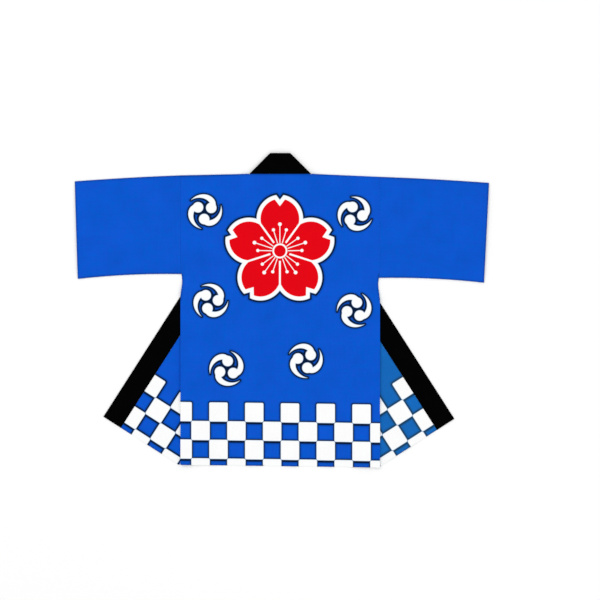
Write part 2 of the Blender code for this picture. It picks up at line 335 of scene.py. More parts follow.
def curled(co, side, middle, turn):
    """co after the side and shoulder edges roll over: turn is 1 for down, -1 for up."""
    foot = side.front_hem + CURL_FOOT
    under = armpit(side)
    across = co.x * side.sign
    at_side = ease(co.y, foot, foot + CURL_FADE) * (1 - ease(co.y, under - CURL_FADE, under))
    at_shoulder = ease(across, NECK_HALF, NECK_HALF + CURL_FADE)
    edges = (side_line(side), at_side), (shoulder_line(side), at_shoulder)
    for (origin, normal), share in edges:
        start = origin - normal * CURL_REACH
        co = bent(co, start, normal, middle, turn * share / ROLL_RADIUS, CURL_REACH)
    return co


def hem_share(up):
    """1 on a turned hem and 0 above it."""
    return 1 - ease(up, HEM_TURN - HEM_STEP, HEM_TURN + HEM_STEP)


def hem_lines(origin, up):
    """Where a turned hem steps up."""
    steps = (-HEM_STEP, -HEM_STEP / 2, 0, HEM_STEP / 2, HEM_STEP)
    return lines_along((origin, up), [HEM_TURN + step for step in steps])


def placed(co):
    """A point of the laid coat, with its side seams drawn in a little under the arms."""
    side = side_of(co.x)
    below = armpit(side) - co.y
    share = ease(below, -PULL_RISE, PULL_FULL) * (1 - ease(below, PULL_FULL, PULL_END))
    share *= 1 - ease(abs(abs(co.x) - HALF_WIDTH), 0, PULL_REACH)
    return Vector((co.x - side.sign * PULL * share + CENTRE_BACK_X, co.y + HEM_Y, co.z))


def back_shape(flat):
    """Where a point of the flat back ends up.  Its z is counted from the inner face."""
    side = side_of(flat.x)
    co = flat.copy()
    co.z += HEM_RISE * ease(flat.z, 0, CLOTH) * hem_share(flat.y - back_hem(flat.x))
    co = curled(co, side, CLOTH / 2, 1)
    co.z += back_underside(flat.x, flat.y)
    co.z += held_down(*off_seams(flat, side)) * raised(flat.x, flat.y, UPPER_FOLDS)
    co.z -= armhole_dip(side, HALF_WIDTH - abs(flat.x), flat.y)
    nape = ease(NECK_HALF - abs(flat.x), 0, SEAM_HOLD)
    co.z -= SEAM_DIP * nape * (1 - ease(BODY_LENGTH - flat.y, 0, SEAM_DIP_REACH))
    return placed(co)


def new_object(name, data):
    made = bpy.data.objects.new(name, data)
    scene.collection.objects.link(made)
    return made


def made_piece(bm, mesh):
    """Fills a mesh, its faces turned outwards, and makes it an object of its own name."""
    bmesh.ops.recalc_face_normals(bm, faces=bm.faces[:])
    bm.to_mesh(mesh)
    bm.free()
    mesh.shade_smooth()
    return new_object(mesh.name, mesh)


def finished(bm, name, shape, outer):
    """Bends a flat cloth to its shape and makes it an object.

    Each point keeps its place in the cut, as x, y, and 1 on the outer face or 0 inside.
    """
    layer = bm.verts.layers.float_vector.new("cut")
    for vert in bm.verts:
        vert[layer] = (vert.co.x, vert.co.y, outer(vert.co))
        vert.co = shape(vert.co)
    return made_piece(bm, bpy.data.meshes.new(name))


edge = HALF_WIDTH - SEAM / 2
top = BODY_LENGTH - SEAM
back_cloth = flat_cloth(
    [
        (-edge, LEFT.back_hem),
        (edge, RIGHT.back_hem),
        (edge, top - RIGHT.shoulder_drop),
        (NECK_HALF + CORNER_SNIP, top),
        (-NECK_HALF - CORNER_SNIP, top),
        (-edge, top - LEFT.shoulder_drop),
    ],
    0,
    CLOTH,
    CLOTH_GRID,
    snips=[Vector((side.sign * NECK_HALF, top)) for side in SIDES],
)
for side in SIDES:
    cut(back_cloth, curl_lines(side), lambda co: co.x * side.sign > -TOUCH)
    dip = Vector((side.sign * (HALF_WIDTH - SEAM_DIP_REACH), 0))
    cut(back_cloth, lines_along((dip, Vector((side.sign, 0))), (0, SEAM_DIP_REACH / 2)))
hem_up = Vector((LEFT.back_hem - RIGHT.back_hem, 2 * HALF_WIDTH)).normalized()
cut(back_cloth, hem_lines(Vector((0, back_hem(0))), hem_up))
back = finished(back_cloth, "back_panel", back_shape, lambda co: between(co.z, 0, CLOTH))

# The stitch: one short float of twisted cotton thread, its ends drawn down into the cloth.
STITCH_LENGTH = 0.0026
STITCH_GAP = 0.0008
THREAD = 0.00026  # half its thickness
STITCH_SIDES = 6
STITCH_LEVEL = 0.6  # share of its length that lies level
STITCH_END = 0.2  # share of its length at each end
STITCH_TAPER = 0.4  # thickness of its ends, as a share
STITCH_SINK = 0.0003  # how far its ends go down
STITCH_PROUD = 0.0001  # its middle above the face
END_FACING = 0.9  # a face looks this straight along it at its ends

bpy.ops.mesh.primitive_cylinder_add(
    vertices=STITCH_SIDES,
    radius=THREAD,
    depth=STITCH_LEVEL * STITCH_LENGTH,
    location=(0, 0, STITCH_PROUD),
    rotation=(0, math.pi / 2, 0),
)
stitch = bpy.context.object
bpy.ops.object.transform_apply()
bpy.ops.object.mode_set(mode="EDIT")
bpy.ops.mesh.select_mode(type="FACE")
for end in (-1, 1):
    bpy.ops.mesh.select_all(action="DESELECT")
    shell = bmesh.from_edit_mesh(stitch.data)
    for face in shell.faces:
        face.select_set(face.normal.x * end > END_FACING)
    bmesh.update_edit_mesh(stitch.data)
    run = end * STITCH_END * STITCH_LENGTH
    bpy.ops.mesh.extrude_region_move(TRANSFORM_OT_translate={"value": (run, 0, -STITCH_SINK)})
    bpy.ops.transform.resize(value=(1, STITCH_TAPER, STITCH_TAPER))
bpy.ops.object.mode_set(mode="OBJECT")
stitch_points = [vert.co.copy() for vert in stitch.data.vertices]
stitch_faces = [tuple(face.vertices) for face in stitch.data.polygons]
bpy.data.objects.remove(stitch)


def sewn(name, start, end, face, sink, shape, slot):
    """A row of stitches between two points of the flat cut, bent with the cloth.

    face is the height of the face that they lie on, and sink is 1 where the inside of
    the cloth is below that face, else -1.
    """
    way = end - start
    heading = way.normalized()
    count = int(way.length / (STITCH_LENGTH + STITCH_GAP))
    points, faces, cuts = [], [], []
    for i in range(count):
        spot = start + way * ((i + 0.5) / count)
        first = len(points)
        for co in stitch_points:
            x = spot.x + heading.x * co.x - heading.y * co.y
            y = spot.y + heading.y * co.x + heading.x * co.y
            points.append(shape(Vector((x, y, face + sink * co.z))))
            cuts.extend((x, y, 1.0))
        faces.extend([first + corner for corner in loop] for loop in stitch_faces)
    mesh = bpy.data.meshes.new(name)
    mesh.from_pydata(points, [], faces)
    mesh.attributes.new("cut", "FLOAT_VECTOR", "POINT").data.foreach_set("vector", cuts)
    shell = bmesh.new()
    shell.from_mesh(mesh)
    piece = made_piece(shell, mesh)
    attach(piece, "root")
    return piece


HEM_STITCH_UP = HEM_TURN - 0.0035  # from the hem to its stitching
SIDE_CLEAR = 0.004  # from the side seam to the first stitch
ends = [side.sign * (HALF_WIDTH - SIDE_CLEAR) for side in SIDES]
ends = [Vector((x, back_hem(x) + HEM_STITCH_UP)) for x in ends]
back_sewing = sewn("back_hem_stitching", *ends, CLOTH, 1, back_shape, "body_cloth")

# Its colours, as the share of light that they send back.
BLUE = (0.0008, 0.092, 0.618)
# NAVY is also the colour of the painted shade along folded and seamed edges.
NAVY = (0.0010, 0.0085, 0.034)  # the printed lines
WHITE = (0.972, 0.976, 0.974)
CREPT_WHITE = (0.52, 0.68, 0.86)  # the rim of the white, where dye crept in
RED = (0.770, 0.0011, 0.0065)
VIOLET_BLUE = (0.020, 0.070, 0.630)  # the uneven dye strays towards these two
SEA_BLUE = (0.001, 0.120, 0.606)
PALE = (0.30, 0.42, 0.62)  # what the reverse of the cloth fades towards

# The print.
SQUARE_WIDTH = 0.0536
SQUARE_HEIGHT = 0.056
CHECKS_START = 0.0025  # right of the centre back
CHECKS_TOP = 0.188  # above the hem
SQUARE_SPREAD = 0.0012  # how far each white square runs over its edge
CORNER_ROUND = 0.0035
CHECK_LINE = 0.0034
TOP_LINE_EXTRA = 0.0035  # wider along the top of each blue square
LINE_BLEED = 0.0055  # how far a line's dye runs on into the blue
BLEED_DEPTH = 0.45
PRINT_BLUR = 0.0005  # how soft the edge of the white is, and of a line
LINE_BLUR = 0.0018
CREEP = 0.0012  # how far the dye creeps over the rim of the white
EDGE_SHADE_REACH = 0.010  # painted shade: the blue is darker this near to folds and seams
EDGE_SHADE_DEPTH = 0.60
BARE_SIDE = 0.078  # of a side seam lies on the table, from the armpit down, with painted shade along it
Swirl = namedtuple("Swirl", "x y heading")
SWIRLS = (
    Swirl(-0.2271, 0.7634, 27.6),
    Swirl(0.2242, 0.7551, 109.7),
    Swirl(-0.2090, 0.4938, 7.4),
    Swirl(0.2227, 0.4683, 72.2),
    Swirl(-0.1597, 0.2920, 84.6),
    Swirl(0.0753, 0.3166, 45.3),
)
BLOSSOM_CENTRE = (-0.001, 0.645)


class Term:
    """A number that changes over a surface.  Its sums and products are Math nodes."""

    def __init__(self, tree, socket):
        self.tree = tree
        self.socket = socket

    def math(self, operation, *others):
        made = self.tree.nodes.new("ShaderNodeMath")
        made.operation = operation
        for slot, value in zip(made.inputs, (self, *others)):
            fill(slot, value)
        return Term(self.tree, made.outputs[0])

    __add__ = partialmethod(math, "ADD")
    __sub__ = partialmethod(math, "SUBTRACT")
    __mul__ = partialmethod(math, "MULTIPLY")
    __truediv__ = partialmethod(math, "DIVIDE")
    __mod__ = partialmethod(math, "FLOORED_MODULO")
    least = partialmethod(math, "MINIMUM")
    most = partialmethod(math, "MAXIMUM")
    size = partialmethod(math, "ABSOLUTE")
    floor = partialmethod(math, "FLOOR")
    sine = partialmethod(math, "SINE")
    cosine = partialmethod(math, "COSINE")

    def __neg__(self):
        return self * -1

    def share(self):
        """Kept between 0 and 1."""
        return self.most(0.0).least(1.0)

    def inside(self, blur=PRINT_BLUR):
        """1 where a distance is below 0, with the slightly soft edge of a print."""
        return (self * (-1 / blur) + 0.5).share()

    def choose(self, yes, no):
        """yes where this is 1, and no where it is 0."""
        return no + self * (yes - no)

    def away(self, other):
        """Length of the arrow with these two legs."""
        return (self * self + other * other).math("SQRT")

    def folded(self, step):
        """Distance to the nearest multiple of step."""
        return -(self % step - step / 2).size() + step / 2


def fill(slot, value):
    """Links a Term to a node's input, or sets a plain value on it."""
    if isinstance(value, Term):
        value.tree.links.new(value.socket, slot)
    else:
        slot.default_value = value


def new_group(name, inputs, outputs):
    """A node group.  Its input Cut is a place in the cut, and all else is numbers.

    Returns the group, its inputs by name, and a function that puts out a result.
    """
    tree = bpy.data.node_groups.new(name, "ShaderNodeTree")
    for labels, way in ((inputs, "INPUT"), (outputs, "OUTPUT")):
        for label in labels:
            kind = "NodeSocketVector" if label == "Cut" else "NodeSocketFloat"
            tree.interface.new_socket(name=label, in_out=way, socket_type=kind)
    entry = tree.nodes.new("NodeGroupInput")
    result = tree.nodes.new("NodeGroupOutput")

    def put(label, term):
        fill(result.inputs[label], term)

    return tree, {label: Term(tree, entry.outputs[label]) for label in inputs}, put


def use_group(tree, group, **values):
    """Places a node group, fills its inputs and gives its results by name.

    Underlines stand for the spaces in the inputs' names.
    """
    made = tree.nodes.new("ShaderNodeGroup")
    made.node_tree = group
    for label, value in values.items():
        fill(made.inputs[label.replace("_", " ")], value)
    return {socket.name: Term(tree, socket) for socket in made.outputs}


def axes(vector):
    """The x, y and z of a place, or the red, green and blue of a colour."""
    parts = vector.tree.nodes.new("ShaderNodeSeparateXYZ")
    fill(parts.inputs[0], vector)
    return [Term(vector.tree, socket) for socket in parts.outputs]


def laid_over(under, over, mask):
    """A colour: over where mask is 1, else under.  Each is a Term or three numbers."""
    tree = mask.tree
    made = tree.nodes.new("ShaderNodeMix")
    made.data_type = "RGBA"
    colours = [slot for slot in made.inputs if slot.type == "RGBA"]
    for slot, colour in zip(colours, (under, over)):
        fill(slot, colour if isinstance(colour, Term) else (*colour, 1.0))
    fill(made.inputs[0], mask)
    return Term(tree, next(slot for slot in made.outputs if slot.type == "RGBA"))


# A noise over the cut: lumps to the metre, detail, how each axis is stretched, and its
# share of a sum of noises.
Noise = namedtuple("Noise", "lumps detail stretch share")
EVEN = (1, 1, 1)
ALONG_WARP = (1, 0.06, 1)
ALONG_WEFT = (0.06, 1, 1)


def noise(place, *sorts):
    """The sum of some sorts of noise at a place in the cut."""
    tree = place.tree
    terms = []
    for sort in sorts:
        spread = tree.nodes.new("ShaderNodeMapping")
        fill(spread.inputs["Scale"], sort.stretch)
        fill(spread.inputs["Vector"], place)
        made = tree.nodes.new("ShaderNodeTexNoise")
        fill(made.inputs["Scale"], sort.lumps)
        fill(made.inputs["Detail"], sort.detail)
        tree.links.new(spread.outputs[0], made.inputs["Vector"])
        terms.append(Term(tree, made.outputs["Fac"]) * sort.share)
    return sum(terms[1:], terms[0])


def printed(ground, line, off_white, off_line):
    """White on a ground colour, with a line round it.  Its dye bleeds and creeps."""
    bled = ((off_line - LINE_BLEED) * (-BLEED_DEPTH / LINE_BLEED)).share()
    colour = laid_over(ground, line, off_line.inside(LINE_BLUR).most(bled))
    colour = laid_over(colour, CREPT_WHITE, off_white.inside())
    return laid_over(colour, WHITE, (off_white + CREEP).inside(CREEP))


def blueness(colour):
    """How much of a colour is the blue dye, from 0 to 1."""
    red, _, blue = axes(colour)
    return ((blue - red) / BLUE[2]).share()


def edge_shaded(colour, off_edge):
    """Painted shade: darker blue along a folded or seamed edge."""
    near = (off_edge / -EDGE_SHADE_REACH + 1).share()
    return laid_over(colour, NAVY, near * near * blueness(colour) * EDGE_SHADE_DEPTH)


# Chequered hem: white squares with rounded corners on the ground, and a line round each.
# Each group of the print gives the distances to its white and to the line round it.
TO_PRINT = ("Off white", "Off line")
checks, given, put = new_group("chequered hem", ("Across", "Up", "Line", "Top line"), TO_PRINT)
across = given["Across"]
above = given["Up"] - CHECKS_TOP
is_above = above.math("GREATER_THAN", 0.0)
column = (across / SQUARE_WIDTH).floor()
row = (above / -SQUARE_HEIGHT).floor()
down = above / -SQUARE_HEIGHT - row
top_row = row.math("COMPARE", 0.0, 0.5)
side_gap = across.folded(SQUARE_WIDTH)
level_gap = down.least(-down + 1) * SQUARE_HEIGHT
white_gap = (down + top_row).least(-down + 1) * SQUARE_HEIGHT
near_side = (-side_gap + CORNER_ROUND).most(0.0)
near_level = (-level_gap + CORNER_ROUND).most(0.0)
blue_cell = (column + row) % 2
blue_column = column % 2
beside = (side_gap + CORNER_ROUND).away(near_level)
over = (white_gap + CORNER_ROUND).away(near_side)
in_band = blue_cell.choose(beside.least(over), near_side.away(near_level))
over_band = (above + CORNER_ROUND).away(blue_column.choose(side_gap + CORNER_ROUND, near_side))
off_white = is_above.choose(over_band, in_band) - (CORNER_ROUND + SQUARE_SPREAD)
from_top = (down + top_row + is_above) * SQUARE_HEIGHT - SQUARE_SPREAD - given["Top line"]
put("Off white", off_white)
put("Off line", off_white.least(from_top) - given["Line"])

# Swirl of three commas: a round head and a tail that thins as it runs round.
HEAD_OUT = 0.0229
HEAD_RADIUS = 0.0161
TAIL_START = 0.0235  # its inner curve, from the head to the tip
TAIL_RUN = 0.0222
TAIL_BOW = 0.0070
TAIL_SWEEP = math.radians(113)
SWIRL_RADIUS = 0.0532
TAIL_FLARE = 0.0157  # how far its outer curve starts inside the swirl's round
TAIL_FLARE_END = 3.96  # how fast it comes out to it
TIP_OUT = 0.0528
TIP_RADIUS = 0.0002
TIP_CUT = 10  # how sharply the tail stops at its tip
HEAD_BLEND = 0.003  # how softly head and tail run together
SWIRL_LINE = 0.0032
HUB_LINE_EXTRA = 0.0050  # how much wider the line is at the middle of the swirl
HUB_REACH = 1.25  # where that ends, in swirl's radii
THIRD = math.radians(120)
swirl, given, put = new_group("swirl", ("Cut", "X", "Y", "Heading"), TO_PRINT)
x, y, _ = axes(given["Cut"])
x = x - given["X"]
y = y - given["Y"]
out = x.away(y)
turn = (y.math("ARCTAN2", x) - given["Heading"]) % THIRD
share = turn / TAIL_SWEEP
inner = share * TAIL_RUN + share * share * TAIL_BOW + TAIL_START
outer = (share * -TAIL_FLARE_END).math("EXPONENT") * -TAIL_FLARE + SWIRL_RADIUS
past_tip = turn - TAIL_SWEEP
tail = (inner - out).most(out - outer).most(past_tip * TIP_CUT)
to_head = turn.folded(THIRD)
along = out * to_head.cosine()
across = out * to_head.sine()
head = (along - HEAD_OUT).away(across) - HEAD_RADIUS
tip = (out * past_tip.cosine() - TIP_OUT).away(out * past_tip.sine()) - TIP_RADIUS
off_white = head.math("SMOOTH_MIN", tail, HEAD_BLEND).least(tip)
hub = (out / -SWIRL_RADIUS + HUB_REACH).share()
put("Off white", off_white)
put("Off line", off_white - SWIRL_LINE - hub * HUB_LINE_EXTRA)

# Blossom: five notched petals, parted by white lines, with stamens round a white ring.
PETAL_OUT = 0.096  # to the middle of a petal
PETAL_LONG = 0.060  # half its length and its width
PETAL_WIDE = 0.058
NOTCH_OUT = 0.134  # to the foot of the notch in its tip
NOTCH_SLOPE = 1.3
CENTRE_RADIUS = 0.062  # where the petals have grown together
PART_WIDTH = 0.0055
PART_START = 0.030
RING_RADIUS = 0.020
RING_WIDTH = 0.005
STAMEN_WIDTH = 0.0026
STAMEN_START = 0.024
Stamen = namedtuple("Stamen", "turn reach dot")
STAMENS = (Stamen(0, 0.080, 0.0055), Stamen(17, 0.066, 0.0048))
OUTLINE_WIDTH = 0.012
BLOSSOM_LINE = 0.0055
FIFTH = math.radians(72)
blossom, given, put = new_group("blossom", ("Cut",), ("Red", *TO_PRINT))
x, y, _ = axes(given["Cut"])
x = x - BLOSSOM_CENTRE[0]
y = y - BLOSSOM_CENTRE[1]
out = x.away(y)
turn = x.math("ARCTAN2", y).folded(FIFTH)
along = out * turn.cosine()
across = out * turn.sine()
oval = ((along - PETAL_OUT) / PETAL_LONG).away(across / PETAL_WIDE)
petal = (oval - 1) * PETAL_WIDE
notch = (along - NOTCH_OUT - across * NOTCH_SLOPE) / math.hypot(1, NOTCH_SLOPE)
off_red = petal.most(notch).least(out - CENTRE_RADIUS)
parting = out * (-turn + FIFTH / 2).sine() - PART_WIDTH / 2
white = parting.most(-out + PART_START).inside()
white = white.most(((out - RING_RADIUS).size() - RING_WIDTH / 2).inside())
for stamen in STAMENS:
    lean = turn - math.radians(stamen.turn)
    run = out * lean.cosine()
    stray = (out * lean.sine()).size()
    thread = (stray - STAMEN_WIDTH / 2).most(-run + STAMEN_START).most(run - stamen.reach)
    white = white.most(thread.inside())
    white = white.most(((run - stamen.reach).away(stray) - stamen.dot).inside())
off_white = off_red - OUTLINE_WIDTH
put("Red", off_red.inside() * (-white + 1))
put("Off white", off_white)
put("Off line", off_white - BLOSSOM_LINE)

# Plain weave: warp and weft threads over and under each other, each straying sideways.
THREAD_STRAY = 0.004
WARP_STRAY = Noise(55, 2, (1, 0.08, 1), THREAD_STRAY)
WEFT_STRAY = Noise(60, 2, (0.08, 1, 1), THREAD_STRAY)
THREAD_HEIGHT = 0.3
CROSSING_HEIGHT = 0.35
weave, given, put = new_group("plain weave", ("Cut", "Thread"), ("Height", "Gap"))
x, y, _ = axes(given["Cut"])
warp = ((x + noise(given["Cut"], WARP_STRAY)) / given["Thread"] * math.pi).sine()
weft = ((y + noise(given["Cut"], WEFT_STRAY)) / given["Thread"] * math.pi).sine()
threads = (warp.size() + weft.size()) * THREAD_HEIGHT
put("Height", warp * weft * CROSSING_HEIGHT + threads)
put("Gap", -(warp.size() * weft.size()) + 1)

# Uneven dye: broad cloudy patches, fine specks, and slubs along both threads.  Its hue
# strays in small and broad patches too.
DEPTH_NOISES = (
    Noise(14, 3, EVEN, 0.45),
    Noise(220, 2, EVEN, 0.25),
    Noise(160, 2, ALONG_WARP, 0.15),
    Noise(160, 2, ALONG_WEFT, 0.15),
)
HUE_NOISES = Noise(75, 3, EVEN, 0.7), Noise(9, 2, EVEN, 0.3)
HUE_SPREAD = 3.2  # how strongly it goes to one hue or the other
dye, given, put = new_group("uneven dye", ("Cut",), ("Depth", "Hue"))
put("Depth", noise(given["Cut"], *DEPTH_NOISES))
put("Hue", ((noise(given["Cut"], *HUE_NOISES) - 0.5) * HUE_SPREAD + 0.5).share())

THREAD_PITCH = 0.0007
COTTON_BUMP = 0.5
COTTON_BUMP_DEPTH = 0.00016
COTTON_ROUGH = 0.84  # where the dye is thinnest
ROUGH_RANGE = 0.12
SHEEN_ROUGH = 0.45
STRAY_SHARE = 0.22  # how much of the blue is given to its stray hues
INSIDE_PALENESS = 0.18
DYE_RANGE = 0.62  # how much darker the deep dye is than the thin
PALE_EVENNESS = 0.8  # how much less that is on white and red
BRIGHTNESS = 1.012
GAP_SHADE = 0.07  # how much darker the gaps between the threads are


def cotton(name, paint, pieces, gloss=0.03, sheen=0.06):
    """Gives some pieces a cotton.  paint(place) is its face's colour at a place in the cut."""
    made = bpy.data.materials.new(name)
    for piece in pieces:
        piece.data.materials.append(made)
    made.use_nodes = True
    tree = made.node_tree
    shader = tree.nodes["Principled BSDF"]
    shader.inputs["Specular IOR Level"].default_value = gloss
    shader.inputs["Sheen Weight"].default_value = sheen
    shader.inputs["Sheen Roughness"].default_value = SHEEN_ROUGH
    cut_place = tree.nodes.new("ShaderNodeAttribute")
    cut_place.attribute_name = "cut"
    place = Term(tree, cut_place.outputs["Vector"])
    _, _, face = axes(place)
    uneven = use_group(tree, dye, Cut=place)
    threads = use_group(tree, weave, Cut=place, Thread=THREAD_PITCH)
    colour = paint(place)
    strayed = laid_over(VIOLET_BLUE, SEA_BLUE, uneven["Hue"])
    colour = laid_over(colour, strayed, blueness(colour) * STRAY_SHARE)
    colour = laid_over(colour, PALE, (-face + 1).share() * INSIDE_PALENESS)
    redness, _, _ = axes(colour)
    dyed = -redness.math("SQRT") * PALE_EVENNESS + 1
    light = (uneven["Depth"] - 0.5) * dyed * DYE_RANGE + BRIGHTNESS - threads["Gap"] * GAP_SHADE
    shade = tree.nodes.new("ShaderNodeVectorMath")
    shade.operation = "SCALE"
    fill(shade.inputs[0], colour)
    fill(shade.inputs["Scale"], light)
    tree.links.new(shade.outputs[0], shader.inputs["Base Color"])
    fill(shader.inputs["Roughness"], uneven["Depth"] * ROUGH_RANGE + COTTON_ROUGH)
    relief = tree.nodes.new("ShaderNodeBump")
    relief.inputs["Strength"].default_value = COTTON_BUMP
    relief.inputs["Distance"].default_value = COTTON_BUMP_DEPTH
    fill(relief.inputs["Height"], threads["Height"])
    tree.links.new(relief.outputs["Normal"], shader.inputs["Normal"])


def checked(ground, line, across, up, width, top_extra):
    """A ground colour with the chequered hem on it, and painted shade along the hem."""
    squares = use_group(
        across.tree, checks, Across=across, Up=up, Line=width, Top_line=top_extra
    )
    return edge_shaded(printed(ground, line, *(squares[label] for label in TO_PRINT)), up)


def back_print(place):
    """The back's colours: checks at the hem, then swirls, painted shade along the shoulders and
    bare sides, then the blossom.
    """
    x, y, _ = axes(place)
    slope = (back_hem(HALF_WIDTH) - back_hem(0)) / HALF_WIDTH
    up = y - x * slope - back_hem(0)
    colour = checked(BLUE, NAVY, x - CHECKS_START, up, CHECK_LINE, TOP_LINE_EXTRA)
    flower = use_group(place.tree, blossom, Cut=place)
    nearest = [flower[label] for label in TO_PRINT]
    for spot in SWIRLS:
        heading = math.radians(spot.heading)
        motif = use_group(place.tree, swirl, Cut=place, X=spot.x, Y=spot.y, Heading=heading)
        nearest = [near.least(motif[label]) for near, label in zip(nearest, TO_PRINT)]
    colour = printed(colour, NAVY, *nearest)
    # Painted shade along the shoulders, and along the side edges where they lie bare on the
    # table.
    off_bare = (y - (armpit(LEFT) - BARE_SIDE / 2)).size() - BARE_SIDE / 2
    off_side = -x.size() + HALF_WIDTH + off_bare.most(0.0)
    drop = (LEFT.shoulder_drop + RIGHT.shoulder_drop) / 2 / (HALF_WIDTH - NECK_HALF)
    off_top = -y + BODY_LENGTH - (x.size() - NECK_HALF).most(0.0) * drop
    return laid_over(edge_shaded(colour, off_side.least(off_top)), RED, flower["Red"])


cotton("printed back cotton", back_print, [back, back_sewing])
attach(back, "root")
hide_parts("back")


# ==================== the fronts
# Each front is a narrow panel of the same cotton with checks at its hem.  It is sewn to
# the back and to the collar, and here it is folded under on a crease from the nape to
# the foot of the side seam, so that its printed face comes out beside the back.

DULL_BLUE = (0.0070, 0.146, 0.468)  # the right front, a duller and greener blue than the left
DULL_NAVY = (0.0090, 0.050, 0.100)
FRONT_CHECK_LINE = 0.0050
FRONT_TOP_LINE_EXTRA = 0.0012
FIRST_COLUMN_END = 0.1306  # from the centre back
FRONT_SHARE = 0.6  # how much of the back's soft folds a front follows
FOLD_STEPS = 14
FOLD_CENTRE = FRONT_TOP / 2
FOLD_MIDDLE = FRONT_TOP - CLOTH / 2
FOLD_RADIUS = FOLD_MIDDLE - FOLD_CENTRE
FOLD_REACH = math.pi * FOLD_RADIUS
FLAP_FOLDS = (
    Fold(-0.345, 0.150, 108, 0.240, 0.017, 0.0017, 0.3),
    Fold(-0.398, 0.105, 128, 0.200, 0.020, 0.0021, -0.3),
    Fold(-0.322, 0.060, 96, 0.150, 0.014, 0.0014, 0.0),
    Fold(0.352, 0.160, 71, 0.230, 0.018, 0.0019, -0.3),
    Fold(0.404, 0.095, 56, 0.190, 0.018, 0.0018, 0.4),
    Fold(0.330, 0.050, 84, 0.140, 0.015, 0.0015, 0.0),
)


def fold_lines(line, radius):
    """Where a cloth folds round a line."""
    reach = math.pi * radius
    return lines_along(line, [reach * (i / FOLD_STEPS - 0.5) for i in range(FOLD_STEPS + 1)])


def folded(co, line, middle, centre):
    """co after the cloth past a line is turned under, round a centre height."""
    origin, normal = line
    radius = middle - centre
    reach = math.pi * radius
    return bent(co, origin - normal * (reach / 2), normal, middle, 1 / radius, reach)


def settled(co, under, off_top, off_seam):
    """Lifts a front or the collar by the soft folds; under is 1 where it is folded under."""
    held = held_down(off_top, off_seam)
    upper = FRONT_SHARE * held * raised(co.x, co.y, UPPER_FOLDS) * (1 - under)
    lower = raised(co.x, co.y, FLAP_FOLDS) * under
    return Vector((co.x, co.y, co.z + upper + lower))


def front_shape(side, flat):
    """Where a point of a flat front ends up.  Its z is counted from the inner face."""
    past = beyond(flat, crease(side))
    under = ease(past, -FOLD_REACH / 2, FOLD_REACH / 2)
    co = flat.copy()
    co.z -= HEM_RISE * under * ease(-flat.z, 0, CLOTH) * hem_share(flat.y - side.front_hem)
    co = curled(co, side, -CLOTH / 2, -1)
    co.z += front_top(flat.x, flat.y)
    co = folded(co, crease(side), FOLD_MIDDLE, FOLD_CENTRE)
    return placed(settled(co, under, *off_seams(flat, side)))


def front_print(side, ground, line, place):
    """A front's colours: its ground, and checks at the hem."""
    x, y, _ = axes(place)
    across = x.size() - (FIRST_COLUMN_END - SQUARE_WIDTH)
    up = y - side.front_hem
    return checked(ground, line, across, up, FRONT_CHECK_LINE, FRONT_TOP_LINE_EXTRA)


FRONTS = (
    (LEFT, BLUE, NAVY, "body_cloth"),
    (RIGHT, DULL_BLUE, DULL_NAVY, "right_front_cloth"),
)
for side, ground, line, slot in FRONTS:
    edge = side.sign * (HALF_WIDTH - SEAM / 2)
    neck = side.sign * (NECK_HALF + SEAM / 2)
    outline = [
        (neck, side.front_hem),
        (edge, side.front_hem),
        (edge, top - side.shoulder_drop),
        (neck + side.sign * CORNER_SNIP, top),
        (neck, top - CORNER_SNIP),
    ]
    if side is LEFT:
        outline.reverse()
    cloth = flat_cloth(outline, -CLOTH, CLOTH, CLOTH_GRID)
    cut(cloth, curl_lines(side))
    cut(cloth, fold_lines(crease(side), FOLD_RADIUS))
    cut(cloth, hem_lines(Vector((0, side.front_hem)), Vector((0, 1))))
    shape = partial(front_shape, side)
    name = side.name + "_front"
    front = finished(cloth, name + "_panel", shape, lambda co: between(-co.z, 0, CLOTH))
    ends = [side.sign * (NECK_HALF + SIDE_CLEAR), side.sign * (HALF_WIDTH - SIDE_CLEAR)]
    ends = [Vector((x, side.front_hem + HEM_STITCH_UP)) for x in ends]
    sewing = sewn(name + "_hem_stitching", *ends, -CLOTH, -1, shape, slot)
    paint = partial(front_print, side, ground, line)
    cotton(side.name + " front cotton", paint, [front, sewing])
    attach(front, "root")
    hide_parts("front_" + side.name)


# ==================== the sleeves
# Each sleeve is one straight piece of the plain blue cotton, folded along the top of the
# arm and seamed under it.  It is set into a straight armhole, hangs square, and its wide
# cuff is turned in and stitched all round.

Drop = namedtuple("Drop", "slope bow")
TOP_DROP = Drop(0.0115, 0.0065)
UNDER_DROP = Drop(-0.006, 0.0205)
SLEEVE_CROWN = 0.0026  # how far the upper side stands up towards the cuff
CROWN_FULL = 0.6  # share of the length where it has risen
ACROSS_SLEEVE = 62  # columns across one side
ROUND_STEPS = 6  # facets round a folded edge
ROUND_ARC = math.pi * ROLL_RADIUS
ROUND_INSET = ROLL_RADIUS + CLOTH / 2
SLEEVE_SECTIONS = 66
CUFF_TURN = 0.016
CUFF_LIFT = 0.0004  # how far the turned cuff lifts its lower side off the table
CUFF_STITCH_IN = CUFF_TURN - 0.003  # from the cuff to its stitching
CROWN_SQUARENESS = 4  # how level the crown is between the folded edges
UNDER_SHARE = 0.35  # how much of the soft folds the lower side shows
UNDER_START = 0.1  # share of the length where it starts to
CLOUDS = Noise(3, 1, EVEN, 0.02)  # the faintest change of depth over a sleeve


def sleeve_edges(side, share):
    """The sleeve's top and underarm points, at a share of the way to the cuff."""
    start = HALF_WIDTH + SEAM / 2
    length = side.reach - start
    top_y = BODY_LENGTH - side.shoulder_drop - TOP_DROP.slope * share - TOP_DROP.bow * share**2
    under_y = armpit(side) - UNDER_DROP.slope * share - UNDER_DROP.bow * share**2
    high = Vector((start + length * share, top_y))
    low = Vector((start + (length - side.cuff_lean) * share, under_y))
    return high, low


